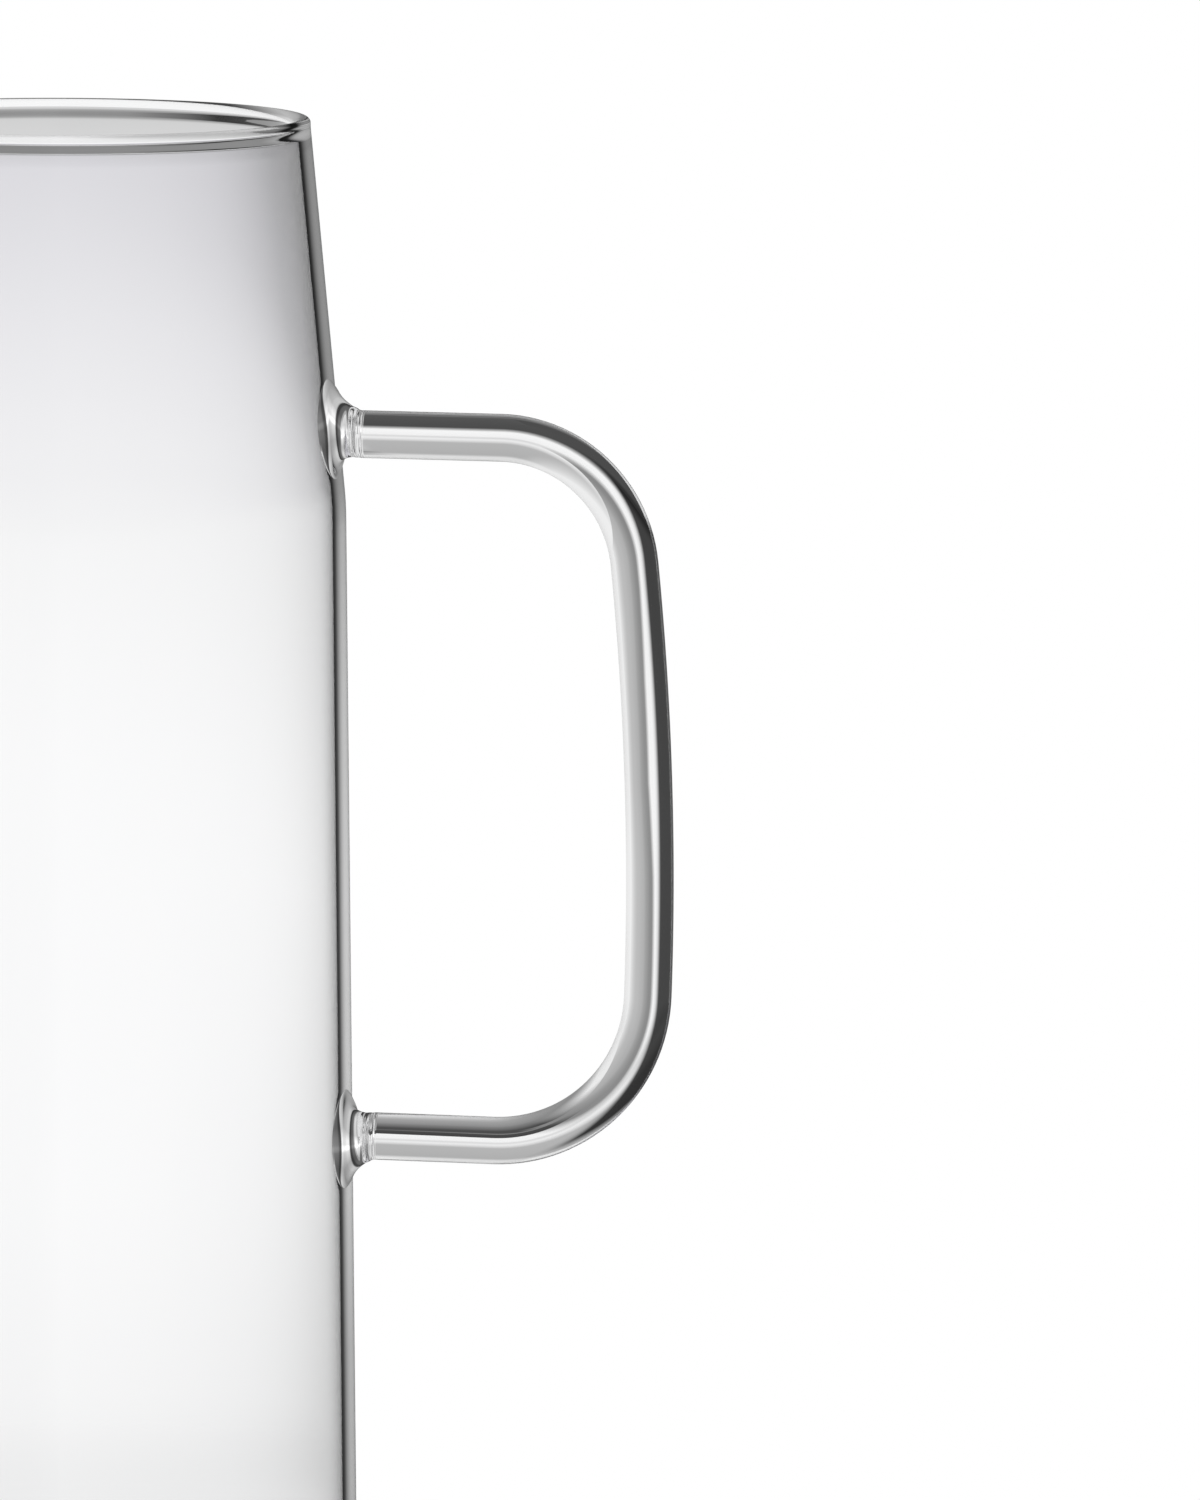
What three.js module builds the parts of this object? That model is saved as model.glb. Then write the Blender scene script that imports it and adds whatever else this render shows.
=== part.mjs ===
// A clear glass pitcher: one blown vessel with a tapered neck, a fire-polished rim and a pulled
// pouring lip, and a bent solid rod as its handle, joined to the wall by a flared weld bead at each end.
// Millimetres, +Z up. The origin is the centre of the base, the handle points to +X and the lip to -X.

import * as THREE from "three";

// Vessel, measured outside
const height = 260;
const rimRadius = 42.3;
const shoulderHeight = 194.8;
const shoulderRadius = 48.6;
const shoulderBlend = 50;
const baseRadius = 51.3;
const baseCorner = 9;

// Thickness of the glass
const wall = 2.3;
const baseThickness = 3.4;

// The rim is melted into a bead, thicker than the wall towards the inside, with a tight round on its
// outer edge and a wide one on its inner edge
const rimSwell = 0.55;
const rimBead = 1.6;
const rimOuterRound = 0.5;
const rimInnerRound = 1.5;

// Pouring lip, pulled out of the rim opposite the handle
const lipReach = 9;
const lipDrop = 1.5;
const lipDepth = 30;
const lipHalfAngle = THREE.MathUtils.degToRad(38);

// Handle rod, measured on its centre line. Its grip leans out on the way down, then back in
const rodRadius = 4;
const upperJointHeight = 207.7;
const lowerJointHeight = 88.6;
const handleReach = 102.2;
const upperBend = 23;
const lowerBend = 26.4;
const upperLean = THREE.MathUtils.degToRad(6);
const lowerLean = THREE.MathUtils.degToRad(1.7);

// Weld beads, from the wall to the ends of the rod. The foot is taller than wide, measured from its middle,
// and set off the rod's axis, away from the other bead
const weldLength = 5;
const weldFootHeight = 8.4;
const weldFootAcross = 7.6;
const weldFootShift = 0.7;
const weldWaistRadius = 4.6;
const weldWaistLength = 0.7;

// Seam left between two pieces of glass that are fused on the real pitcher
const seam = 0.3;

// Fineness of the facets
const vesselSides = 60;
const arcSteps = 3;
const lipRows = 7;
const rodSides = 20;
const rodSteps = 60;
const weldSides = 28;
const flareSteps = 7;
const footRings = 3;

const clearGlass = new THREE.MeshStandardMaterial({
  name: "clear_glass",
  color: 0xeef1f3,
  roughness: 0.03,
  metalness: 0,
  transparent: true,
  opacity: 0.35,
});

// Outer radius of the wall at a height: a slow taper up to the shoulder, then the neck's steeper cone
function outerRadius(z) {
  const [low, high, from, to] =
    z < shoulderHeight
      ? [baseRadius, shoulderRadius, 0, shoulderHeight]
      : [shoulderRadius, rimRadius, shoulderHeight, height];
  return THREE.MathUtils.mapLinear(z, from, to, low, high);
}

// A path through corner points, where each corner with a radius is rounded by an arc
function roundedPath(corners) {
  const path = new THREE.Path();
  path.moveTo(corners[0].at.x, corners[0].at.y);
  corners.slice(1).forEach(({ at, round }, i) => {
    if (!round) {
      path.lineTo(at.x, at.y);
      return;
    }
    const back = corners[i].at.clone().sub(at).normalize();
    const on = corners[i + 2].at.clone().sub(at).normalize();
    const half = back.angleTo(on) / 2;
    const middle = back.clone().add(on).normalize();
    const centre = middle.multiplyScalar(round / Math.sin(half)).add(at);
    const tangent = round / Math.tan(half);
    const start = back.clone().multiplyScalar(tangent).add(at);
    const end = on.clone().multiplyScalar(tangent).add(at);
    const clockwise = back.cross(on) > 0;
    path.lineTo(start.x, start.y);
    path.absarc(
      centre.x,
      centre.y,
      round,
      start.sub(centre).angle(),
      end.sub(centre).angle(),
      clockwise,
    );
  });
  return path;
}

// Half of the vessel's section, from the axis under the base, over the rim and back to the axis inside
function vesselSection() {
  const corner = (radius, z, round) => ({ at: new THREE.Vector2(radius, z), round });
  const neckRows = (thickness) =>
    Array.from({ length: lipRows }, (_, row) => {
      const z = height - (lipDepth * (row + 1)) / (lipRows + 1);
      return corner(outerRadius(z) - thickness, z);
    });
  return roundedPath([
    corner(0, 0),
    corner(baseRadius, 0, baseCorner),
    corner(shoulderRadius, shoulderHeight, shoulderBlend),
    corner(outerRadius(height - lipDepth), height - lipDepth),
    ...neckRows(0).reverse(),
    corner(rimRadius, height, rimOuterRound),
    corner(rimRadius - wall - rimSwell, height, rimInnerRound),
    corner(outerRadius(height - rimBead) - wall - rimSwell, height - rimBead),
    ...neckRows(wall),
    corner(outerRadius(height - lipDepth) - wall, height - lipDepth),
    corner(shoulderRadius - wall, shoulderHeight, shoulderBlend),
    corner(outerRadius(baseThickness) - wall, baseThickness, baseCorner - wall),
    corner(0, baseThickness),
  ]);
}

// The lip is the rim itself, drawn out and a little down, most at its middle and dying out down the neck
function pullLip(points) {
  const point = new THREE.Vector3();
  for (let i = 0; i < points.count; i++) {
    point.fromBufferAttribute(points, i);
    const depth = height - point.z;
    const angle = Math.abs(Math.atan2(point.y, -point.x));
    if (depth < lipDepth && angle < lipHalfAngle) {
      const across = Math.cos((angle / lipHalfAngle) * (Math.PI / 2)) ** 2;
      const pull = across * (1 - depth / lipDepth) ** 2;
      const radius = Math.hypot(point.x, point.y);
      const spread = 1 + (lipReach * pull) / radius;
      points.setXYZ(i, point.x * spread, point.y * spread, point.z - lipDrop * pull);
    }
  }
}

function makeVessel() {
  const section = vesselSection().getPoints(arcSteps);
  const geometry = new THREE.LatheGeometry(section, vesselSides);
  geometry.rotateX(Math.PI / 2);
  pullLip(geometry.attributes.position);
  return new THREE.Mesh(geometry, clearGlass);
}

// Distance from the axis plane to the wall's outer face, where the handle's plane has y = 0
function wallFace(y, z) {
  return Math.sqrt(outerRadius(z) ** 2 - y ** 2);
}

// Where the flat end of the rod stands, at the height of a joint
function rodFace(z) {
  return outerRadius(z) + weldLength;
}

// The rod's centre line, drawn in the handle's plane and held upright in space
class HandleCurve extends THREE.Curve {
  constructor() {
    super();
    const bendDrop =
      upperBend * (1 - Math.sin(upperLean)) + lowerBend * (1 - Math.sin(lowerLean));
    const gripDrop = upperJointHeight - lowerJointHeight - bendDrop;
    const gripRadius = gripDrop / (Math.sin(upperLean) + Math.sin(lowerLean));
    const gripCentre = handleReach - gripRadius;
    const gripHeight =
      upperJointHeight - upperBend + (upperBend - gripRadius) * Math.sin(upperLean);
    const upperTurn = gripCentre + (gripRadius - upperBend) * Math.cos(upperLean);
    const lowerTurn = gripCentre + (gripRadius - lowerBend) * Math.cos(lowerLean);
    const quarter = Math.PI / 2;
    this.path = new THREE.Path();
    this.path.moveTo(rodFace(upperJointHeight), upperJointHeight);
    this.path.lineTo(upperTurn, upperJointHeight);
    this.path.absarc(upperTurn, upperJointHeight - upperBend, upperBend, quarter, upperLean, true);
    this.path.absarc(gripCentre, gripHeight, gripRadius, upperLean, -lowerLean, true);
    this.path.absarc(lowerTurn, lowerJointHeight + lowerBend, lowerBend, -lowerLean, -quarter, true);
    this.path.lineTo(rodFace(lowerJointHeight), lowerJointHeight);
  }

  getPoint(t, target = new THREE.Vector3()) {
    const { x, y } = this.path.getPoint(t);
    return target.set(x, 0, y);
  }
}

function makeHandle() {
  const section = new THREE.Shape().absarc(0, 0, rodRadius, 0, 2 * Math.PI, false);
  const geometry = new THREE.ExtrudeGeometry(section, {
    steps: rodSteps,
    curveSegments: rodSides / 2,
    extrudePath: new HandleCurve(),
  });
  return new THREE.Mesh(geometry, clearGlass);
}

// A weld bead is a solid flare along the rod's axis. Its foot follows the wall, and its neck ends flat
// at the rod
function makeWeld(jointHeight, footShift) {
  const foot = Array.from(
    { length: footRings },
    (_, ring) => new THREE.Vector2((weldFootHeight * ring) / footRings, 0),
  );
  const flare = new THREE.QuadraticBezierCurve(
    new THREE.Vector2(weldFootHeight, 0),
    new THREE.Vector2(weldWaistRadius, weldWaistLength),
    new THREE.Vector2(rodRadius, weldLength),
  );
  const section = [...foot, ...flare.getPoints(flareSteps), new THREE.Vector2(0, weldLength)];
  const geometry = new THREE.LatheGeometry(section, weldSides);
  const points = geometry.attributes.position;
  for (let i = 0; i < points.count; i++) {
    const share = points.getY(i) / weldLength;
    const narrowing = THREE.MathUtils.lerp(weldFootAcross / weldFootHeight, 1, share);
    const y = -points.getX(i) * narrowing;
    const z = jointHeight + points.getZ(i) + footShift * (1 - share);
    const onWall = wallFace(y, z) + seam;
    const atRod = rodFace(jointHeight) - seam;
    points.setXYZ(i, THREE.MathUtils.lerp(onWall, atRod, share), y, z);
  }
  return new THREE.Mesh(geometry, clearGlass);
}

const pitcher = new THREE.Group();
const pieces = {
  vessel: makeVessel(),
  handle: makeHandle(),
  upper_weld: makeWeld(upperJointHeight, weldFootShift),
  lower_weld: makeWeld(lowerJointHeight, -weldFootShift),
};
for (const [name, mesh] of Object.entries(pieces)) {
  mesh.name = name;
  pitcher.add(mesh);
}

export default pitcher;
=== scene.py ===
"""Dresses the glass pitcher: a blown vessel, a bent rod handle and the two weld beads that join them."""

import math

import bmesh
import bpy
from mathutils import Matrix, Vector


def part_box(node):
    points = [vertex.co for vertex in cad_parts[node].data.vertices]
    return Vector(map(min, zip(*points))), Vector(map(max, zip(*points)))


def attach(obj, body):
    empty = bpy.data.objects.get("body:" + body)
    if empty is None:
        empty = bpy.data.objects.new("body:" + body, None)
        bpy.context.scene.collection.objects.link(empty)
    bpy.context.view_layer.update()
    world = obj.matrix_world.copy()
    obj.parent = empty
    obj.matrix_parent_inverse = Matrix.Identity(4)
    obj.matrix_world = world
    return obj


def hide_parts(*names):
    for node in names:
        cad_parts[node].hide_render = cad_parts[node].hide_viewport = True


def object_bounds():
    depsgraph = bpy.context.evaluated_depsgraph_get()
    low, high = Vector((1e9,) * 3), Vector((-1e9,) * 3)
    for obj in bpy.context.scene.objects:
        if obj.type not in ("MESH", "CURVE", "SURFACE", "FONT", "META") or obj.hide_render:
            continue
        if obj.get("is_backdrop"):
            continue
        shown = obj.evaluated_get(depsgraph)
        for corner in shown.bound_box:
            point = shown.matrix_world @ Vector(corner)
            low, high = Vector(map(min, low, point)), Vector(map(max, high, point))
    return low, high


bl_info = {
    "name": "Glass Pitcher",
    "version": (1, 0, 0),
    "blender": (4, 5, 0),
    "location": "View3D > Sidebar > Pitcher",
    "description": "Builds a clear glass pitcher with a welded rod handle, and the studio around it",
    "category": "Add Mesh",
}

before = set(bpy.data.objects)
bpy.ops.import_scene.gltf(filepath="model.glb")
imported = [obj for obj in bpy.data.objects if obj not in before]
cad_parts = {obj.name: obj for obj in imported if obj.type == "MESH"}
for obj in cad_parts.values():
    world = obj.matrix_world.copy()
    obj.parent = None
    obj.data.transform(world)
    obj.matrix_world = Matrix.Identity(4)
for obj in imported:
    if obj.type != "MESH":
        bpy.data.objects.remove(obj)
cad_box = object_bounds()
_, vessel_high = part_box("vessel")

MM = 0.001

# How finely the glass is meshed
COLUMNS = 200
ROW_STEP = 2.0 * MM
PATCH_COLUMNS = 16
PATCH_ROWS = 16
PATCH_RINGS = 5
FLARE_RINGS = 80
FLARE_SPACING = 1.5
ROD_STEP = 1.3 * MM
RIM_STEPS = 28
BEAD_ROWS = 10
CORNER_STEPS = 10
BASE_RINGS = 12
# The last rows under the rim, by steps below its round
RIM_ROWS = (0.5, 0.2, 0.0)
# Rings that fill a seam, by shares of its radius
SEAM_SHARES = (0.8, 0.55, 0.3)
# Rings of a weld patch have as many points as the grid around the patch
RING_POINTS = 2 * (PATCH_COLUMNS + PATCH_ROWS)

# A weld bead's waist, on the bead's outer side: how much wider than the rod it is, and how much further
# along the bead it lies than on the inner side
WAIST_WIDER = 0.2
WAIST_FURTHER = 0.24
# Where the waist lies on the inner side, as a share of the bead's length
WAIST_ALONG = 0.02
# Share of a weld bead's rings that its rounded edge on the wall takes
EDGE_SHARE = 0.13
# How much of the edge and the pressed rings is left above and below the rod
LEAST_PRESSED = 0.15
# Rings pressed into a weld bead: distance from the wall, height and width
PRESSED_RINGS = (
    (3.4 * MM, -0.2 * MM, 0.25 * MM),
    (4.1 * MM, 0.2 * MM, 0.35 * MM),
    (4.65 * MM, -0.24 * MM, 0.16 * MM),
)

# Material slots of a piece of glass
GLASS_SLOT = 0
SEAM_SLOT = 1

# Marks in each kind of glass: scale of the streaks, scale of the waves and height of the waves
GLASS_MARKS = {
    "blown_glass": (40, 18, 0.02 * MM),
    "drawn_rod_glass": (120, 60, 0.01 * MM),
    "welded_glass": (200, 160, 0.02 * MM),
}
# Scale of the streaks along each axis: they are drawn out upward
STREAK_DRAW = (1.0, 1.0, 0.12)
STREAK_DETAIL = 3.0
WAVE_DETAIL = 1.0
# Strength of the streaks at which haze sets in, and at which it is full
HAZE_START = 0.5
HAZE_END = 0.8
# What the glass leaves of a lamp's light
LAMP_TINT = (0.93, 0.94, 0.94)

# The photograph's frame, in pixels, and where the centre of the rim stands in it
PHOTO_WIDTH = 1200
PHOTO_HEIGHT = 1500
RIM_CENTRE_X = 58
RIM_CENTRE_Y = 116.2
SENSOR = 36.0
CAMERA_REACH = 100.0


def length(name, default, description):
    """A length that a user may change."""
    return bpy.props.FloatProperty(
        name=name,
        description=description,
        default=default,
        min=0.0,
        precision=4,
        subtype="DISTANCE",
        unit="LENGTH",
    )


def angle(name, degrees, description):
    """An angle that a user may change."""
    return bpy.props.FloatProperty(
        name=name,
        description=description,
        default=math.radians(degrees),
        subtype="ANGLE",
        unit="ROTATION",
    )


def share(name, default, description, top=1.0):
    """A plain factor that a user may change."""
    return bpy.props.FloatProperty(
        name=name, description=description, default=default, min=0.0, max=top
    )


def tint(name, default, description):
    """A colour that a user may change."""
    return bpy.props.FloatVectorProperty(
        name=name,
        description=description,
        default=default,
        size=3,
        min=0.0,
        max=1.0,
        subtype="COLOR",
    )


class PitcherSizes(bpy.types.PropertyGroup):
    """Sizes of the glass, in the frame of the CAD part."""

    height: length("Height", vessel_high[2], "Top of the rim above the table")
    rim_radius: length("Rim radius", 42.3 * MM, "Outside of the neck at the rim")
    shoulder_height: length("Shoulder height", 194.8 * MM, "Where the body turns into the neck")
    shoulder_radius: length("Shoulder radius", 48.6 * MM, "Outside of the body at the shoulder")
    shoulder_blend: length(
        "Shoulder blend", 2.2 * MM, "Half the height over which the shoulder is rounded"
    )
    base_radius: length("Base radius", vessel_high[1], "Outside of the body, carried down to the table")
    base_corner: length("Base corner", 9 * MM, "Radius of the rounded edge of the base")
    wall: length("Wall", 2.3 * MM, "Thickness of the wall")
    base_thickness: length("Base thickness", 3.4 * MM, "Thickness of the base")
    rim_swell: length("Rim swell", 0.55 * MM, "How far the melted rim swells inwards")
    rim_round: length("Rim round", 1.6 * MM, "Height of the round on the inside of the rim")
    rim_edge: length("Rim edge", 0.95 * MM, "Radius of the tight round on the outside of the rim")
    rim_taper: length("Rim taper", 2.0 * MM, "Height over which the swell runs out below the round")
    lip_reach: length("Lip reach", 9 * MM, "How far the pouring lip is drawn out")
    lip_drop: length("Lip drop", 1.5 * MM, "How far the lip dips below the rim")
    lip_depth: length("Lip depth", 30 * MM, "How far down the neck the lip begins")
    lip_half_angle: angle("Lip half angle", 38, "Half the share of the rim that the lip takes")
    rod_radius: length("Rod radius", 4 * MM, "Radius of the handle rod")
    upper_joint: length("Upper joint", 207.7 * MM, "Height of the handle's upper end")
    lower_joint: length("Lower joint", 88.6 * MM, "Height of the handle's lower end")
    handle_reach: length("Handle reach", 102.2 * MM, "Axis of the vessel to the middle of the grip")
    upper_bend: length("Upper bend", 23 * MM, "Radius of the handle's upper bend")
    lower_bend: length("Lower bend", 26.4 * MM, "Radius of the handle's lower bend")
    upper_lean: angle("Upper lean", 6, "How far the grip leans out at its top")
    lower_lean: angle("Lower lean", 1.7, "How far the grip leans in at its bottom")
    weld_length: length("Weld length", 5 * MM, "Wall to the end of the rod")
    weld_foot: length("Weld foot", 8.4 * MM, "Radius of a weld bead where it runs out on the wall")
    weld_across: length("Weld across", 7.6 * MM, "The same foot, measured across the wall")
    weld_edge: length("Weld edge", 1.5 * MM, "Thickness of a bead's rounded edge beside the rod")
    weld_shift: length("Weld shift", 0.7 * MM, "How far a bead's foot lies outside the rod's axis")


class GlassLook(bpy.types.PropertyGroup):
    """Finish of the glass."""

    colour: tint("Colour", (1.0, 1.0, 1.0), "Tint of the clear glass")
    deep_colour: tint("Deep colour", (0.982, 0.984, 0.988), "Tint where the glass was worked longest")
    bend: share("Index of refraction", 1.474, "How strongly the glass bends light", 3.0)
    polish: share("Polish", 0.006, "Least roughness of the fire-polished skin")
    haze: share("Haze", 0.02, "Added roughness in faint streaks")


class StudioLook(bpy.types.PropertyGroup):
    """Camera and light."""

    turn: angle("Turn", 14, "How far the handle points towards the camera")
    rim_tilt: angle("Rim tilt", 4.35, "How far the camera looks down on the rim")
    distance: bpy.props.FloatProperty(
        name="Distance", description="Camera to the rim", default=2.0, min=0.1, unit="LENGTH"
    )
    lens: bpy.props.FloatProperty(
        name="Lens", description="Focal length in millimetres", default=285.7, min=10.0
    )
    floor_radius: length("Floor radius", 0.7, "Radius of the pale floor")
    backdrop_colour: tint("Backdrop colour", (0.965, 0.955, 1.0), "Colour of the backdrop's upper part")
    floor_colour: tint("Floor colour", (0.9, 0.9, 0.9), "Colour of the pale floor")


def soft_corner(d, before, after, half):
    """A height offset d past a corner between two slopes, rounded over half on either side."""
    if d <= -half:
        return before * d
    if d >= half:
        return after * d
    return (before + after) / 2 * d + (after - before) / (4 * half) * (d * d + half * half)


def outer_radius(sizes, z):
    """Outer radius of the wall at a height."""
    below = (sizes.shoulder_radius - sizes.base_radius) / sizes.shoulder_height
    above = (sizes.rim_radius - sizes.shoulder_radius) / (sizes.height - sizes.shoulder_height)
    past = z - sizes.shoulder_height
    return sizes.shoulder_radius + soft_corner(past, below, above, sizes.shoulder_blend)


def on_wall(sizes, y, z):
    """The point of the outer wall, on the handle's side, at a place across and a height."""
    return Vector((math.sqrt(outer_radius(sizes, z) ** 2 - y * y), y, z))


def arc(centre, radius, start, end, steps):
    """Points of an arc in the section plane, without its first point."""
    turns = (start + (end - start) * i / steps for i in range(1, steps + 1))
    return [(centre[0] + radius * math.cos(t), centre[1] + radius * math.sin(t)) for t in turns]


def levels(stops):
    """Heights between stops, each pair given with its number of rows, without the first stop."""
    heights = []
    for (low, _), (high, rows) in zip(stops, stops[1:]):
        heights += [low + (high - low) * (i + 1) / rows for i in range(rows)]
    return heights


def rows_between(low, high):
    """Number of rows that a plain stretch of wall takes."""
    return max(1, round((high - low) / ROW_STEP))


def patch_span(sizes, joint):
    """Lowest and highest row of the patch round a weld."""
    half = sizes.shoulder_radius * math.sin(math.pi * PATCH_COLUMNS / COLUMNS)
    return joint - half, joint + half


def rim_round(sizes, rim_start):
    """The melted rim: a tall round over the wall's edge, and a swell inside that runs out below it."""
    ridge = outer_radius(sizes, rim_start) - sizes.rim_edge
    inner_half = sizes.wall + sizes.rim_swell - sizes.rim_edge
    turns = [math.pi * i / RIM_STEPS for i in range(1, RIM_STEPS + 1)]
    round_top = [(ridge + sizes.rim_edge, sizes.height - sizes.rim_edge)]
    for turn in turns:
        out, up = math.cos(turn), math.sin(turn)
        width = sizes.rim_edge if out > 0 else inner_half
        depth = sizes.rim_edge if out > 0 else sizes.rim_round
        round_top.append((ridge + width * out, sizes.height - depth * (1 - up)))
    below = []
    for i in range(1, BEAD_ROWS + 1):
        run = i / BEAD_ROWS
        z = rim_start - sizes.rim_taper * run
        swell = sizes.rim_swell * (1 - run * run * (3 - 2 * run))
        below.append((outer_radius(sizes, z) - sizes.wall - swell, z))
    return round_top + below


def vessel_section(sizes):
    """The vessel's section, from under the base to its inside, and the first rows of the two patches."""
    corner, wall = sizes.base_corner, sizes.wall
    start = outer_radius(sizes, corner)
    flat = start - corner
    section = [(flat * i / BASE_RINGS, 0.0) for i in range(1, BASE_RINGS + 1)]
    section += arc((flat, corner), corner, -math.pi / 2, 0, CORNER_STEPS)

    lower_low, lower_high = patch_span(sizes, sizes.lower_joint)
    upper_low, upper_high = patch_span(sizes, sizes.upper_joint)
    rim_start = sizes.height - sizes.rim_round
    stops = [(corner, 0)]
    for high, rows in (
        (lower_low, None),
        (lower_high, PATCH_ROWS),
        (upper_low, None),
        (upper_high, PATCH_ROWS),
        (rim_start, None),
    ):
        low = stops[-1][0]
        stops.append((high, rows or rows_between(low, high)))
    first_row = len(section) - 1
    counts = [rows for _, rows in stops]
    patches = [first_row + sum(counts[:2]), first_row + sum(counts[:4])]

    heights = levels(stops)
    heights[-1:] = [rim_start - ROW_STEP * step for step in RIM_ROWS]
    section += [(outer_radius(sizes, z), z) for z in heights]
    section += rim_round(sizes, rim_start)

    inner_corner = corner - wall
    inner_start = sizes.base_thickness + inner_corner
    inner_flat = outer_radius(sizes, inner_start) - wall - inner_corner
    low = rim_start - sizes.rim_taper - ROW_STEP / 2
    inside = [z for z in reversed(heights) if inner_start + ROW_STEP / 2 < z < low]
    section += [(outer_radius(sizes, z) - wall, z) for z in inside + [inner_start]]
    section += arc((inner_flat, inner_start), inner_corner, 0, -math.pi / 2, CORNER_STEPS)
    section += [
        (inner_flat * (1 - i / BASE_RINGS), sizes.base_thickness) for i in range(1, BASE_RINGS)
    ]
    return section, patches


def pull_lip(sizes, point):
    """Draws a point of the rim out into the pouring lip, opposite the handle."""
    depth = sizes.height - point.z
    turn = abs(math.atan2(point.y, -point.x))
    if depth >= sizes.lip_depth or turn >= sizes.lip_half_angle:
        return point
    across = math.cos(turn / sizes.lip_half_angle * math.pi / 2) ** 2
    pull = across * (1 - depth / sizes.lip_depth) ** 2
    spread = 1 + sizes.lip_reach * pull / math.hypot(point.x, point.y)
    return Vector((point.x * spread, point.y * spread, point.z - sizes.lip_drop * pull))


def pressed_rings(distance):
    """Height of the rings that were pressed into a soft bead, at a distance from the wall."""
    rise = 0.0
    for place, height, width in PRESSED_RINGS:
        rise += height * math.exp(-(((distance - place) / width) ** 2))
    return rise


class Joint:
    """Where one end of the handle meets the wall. Its outer side faces away from the other joint."""

    def __init__(self, sizes, height, outer):
        self.sizes = sizes
        self.height = height
        self.outer = outer
        self.rod_face = outer_radius(sizes, height) + sizes.weld_length

    def turn(self, i):
        """Angle of a ring's point, from across to up, matched to the corners of the patch."""
        first = math.atan2(-PATCH_ROWS, -PATCH_COLUMNS)
        return first + 2 * math.pi * i / RING_POINTS

    def on_pad(self, i, radius_share):
        """A point of the wall under the bead, at a share of the foot's radius."""
        sizes = self.sizes
        y = sizes.weld_across * radius_share * math.cos(self.turn(i))
        z = self.height + self.outer * sizes.weld_shift
        z += sizes.weld_foot * radius_share * math.sin(self.turn(i))
        return on_wall(sizes, y, z)

    def on_flare(self, i, t):
        """A point of the bead's flare, from its foot on the wall at 0 to the end of the rod at 1."""
        sizes = self.sizes
        fullness = (1 + self.outer * math.sin(self.turn(i))) / 2
        waist_radius = sizes.rod_radius * (1.0 + WAIST_WIDER * fullness)
        waist_along = WAIST_ALONG + WAIST_FURTHER * fullness
        foot, middle, neck = (1 - t) ** 2, 2 * t * (1 - t), t * t
        along = middle * waist_along + neck
        near_rod = middle * waist_radius + neck * sizes.rod_radius
        pressed = LEAST_PRESSED + (1 - LEAST_PRESSED) * math.cos(self.turn(i)) ** 2
        near_rod += pressed_rings(along * sizes.weld_length) * pressed
        y = (foot * sizes.weld_across + near_rod) * math.cos(self.turn(i))
        shift = self.outer * sizes.weld_shift * (1 - along)
        z = self.height + shift + (foot * sizes.weld_foot + near_rod) * math.sin(self.turn(i))
        point = on_wall(sizes, y, z).lerp(Vector((self.rod_face, y, z)), along)
        inset = 1 - min(1.0, t / EDGE_SHARE)
        point.x += sizes.weld_edge * pressed * math.sqrt(1 - inset * inset) * (1 - along)
        return point

    def on_neck(self, i, radius_share):
        """A point of the flat seam between the bead and the rod."""
        reach = self.sizes.rod_radius * radius_share
        y = reach * math.cos(self.turn(i))
        return Vector((self.rod_face, y, self.height + reach * math.sin(self.turn(i))))


def joints(sizes):
    """The upper and the lower joint."""
    return Joint(sizes, sizes.upper_joint, 1), Joint(sizes, sizes.lower_joint, -1)


def ring_of(bm, points):
    """A closed ring of new vertices."""
    return [bm.verts.new(point) for point in points]


def join_rings(bm, first, second, slot=GLASS_SLOT):
    """Quads between two rings with as many points each."""
    count = len(first)
    for i in range(count):
        j = (i + 1) % count
        face = bm.faces.new((first[i], first[j], second[j], second[i]))
        face.material_index = slot


def close_ring(bm, ring, point, slot=GLASS_SLOT):
    """Triangles from a ring to one point in its middle."""
    middle = bm.verts.new(point)
    for i, vert in enumerate(ring):
        face = bm.faces.new((vert, ring[(i + 1) % len(ring)], middle))
        face.material_index = slot


def new_mesh(name, bm):
    """A mesh from what was built."""
    mesh = bpy.data.meshes.new(name)
    bm.to_mesh(mesh)
    bm.free()
    return mesh


def new_object(name, data):
    """A new object in the scene."""
    made = bpy.data.objects.new(name, data)
    bpy.context.scene.collection.objects.link(made)
    return made


def finish_piece(bm, name, nodes, materials):
    """Turns a mesh into a smooth piece of glass that stands for its CAD nodes."""
    bmesh.ops.recalc_face_normals(bm, faces=bm.faces)
    for face in bm.faces:
        face.smooth = True
    for edge in bm.edges:
        slots = {face.material_index for face in edge.link_faces}
        edge.smooth = len(slots) == 1
    mesh = new_mesh(name, bm)
    for material in materials:
        mesh.materials.append(material)
    piece = new_object(name, mesh)
    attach(piece, "root")
    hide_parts(*nodes)
    return piece


def patch_cells(first_row):
    """Rows and columns of the grid cells that a weld patch takes the place of."""
    rows = range(first_row, first_row + PATCH_ROWS)
    half = PATCH_COLUMNS // 2
    return {(row, column % COLUMNS) for row in rows for column in range(-half, half)}


def patch_border(grid, first_row):
    """The grid's vertices round a weld patch, anticlockwise from its lower near corner."""
    half = PATCH_COLUMNS // 2
    last_row = first_row + PATCH_ROWS
    border = [(first_row, column) for column in range(-half, half)]
    border += [(row, half) for row in range(first_row, last_row)]
    border += [(last_row, column) for column in range(half, -half, -1)]
    border += [(row, -half) for row in range(last_row, first_row, -1)]
    return [grid[row, column % COLUMNS] for row, column in border]


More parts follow.
